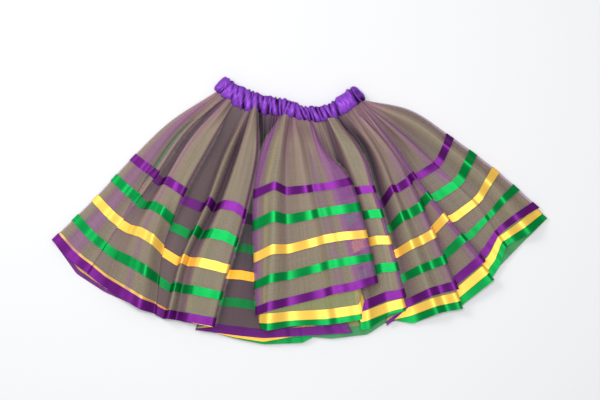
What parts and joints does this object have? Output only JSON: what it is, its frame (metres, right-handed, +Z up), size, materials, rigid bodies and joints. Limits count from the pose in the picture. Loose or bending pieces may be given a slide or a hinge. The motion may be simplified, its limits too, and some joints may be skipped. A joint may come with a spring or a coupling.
{
  "type": "tutu",
  "caption": "Child's dance tutu laid flat: gathered purple, gold and green organza skirts with satin ribbon rows, hanging from a ruched satin waistband.",
  "frame": {"origin": "under the middle of the tutu's outline, on the table it lies on", "axes": "+Z up from the table, +Y from the hem towards the waistband, +X to the right as seen from above"},
  "size_m": [0.4948, 0.2707, 0.0214],
  "materials": {
    "purple_organza": "sheer crisp organza with a soft sheen",
    "gold_organza": "sheer crisp organza with a soft sheen",
    "green_organza": "sheer crisp organza with a soft sheen",
    "purple_satin": "satin ribbon, shiny along its folds",
    "gold_satin": "satin ribbon, shiny along its folds",
    "green_satin": "satin ribbon, shiny along its folds",
    "waist_satin": "ruched satin over elastic"
  },
  "bodies": {
    "root": {"purple_skirt_front": "purple_organza", "purple_skirt_back": "purple_organza", "gold_skirt_front": "gold_organza", "gold_skirt_back": "gold_organza", "green_skirt_front": "green_organza", "green_skirt_back": "green_organza", "purple_hem_front": "purple_satin", "purple_hem_back": "purple_satin", "ribbon_purple_front": "purple_satin", "ribbon_purple_back": "purple_satin", "gold_hem_front": "gold_satin", "gold_hem_back": "gold_satin", "ribbon_gold_front": "gold_satin", "ribbon_gold_back": "gold_satin", "green_hem_front": "green_satin", "green_hem_back": "green_satin", "ribbon_green_upper_front": "green_satin", "ribbon_green_upper_back": "green_satin", "ribbon_green_lower_front": "green_satin", "ribbon_green_lower_back": "green_satin", "waistband": "waist_satin"}
  },
  "joints": []
}
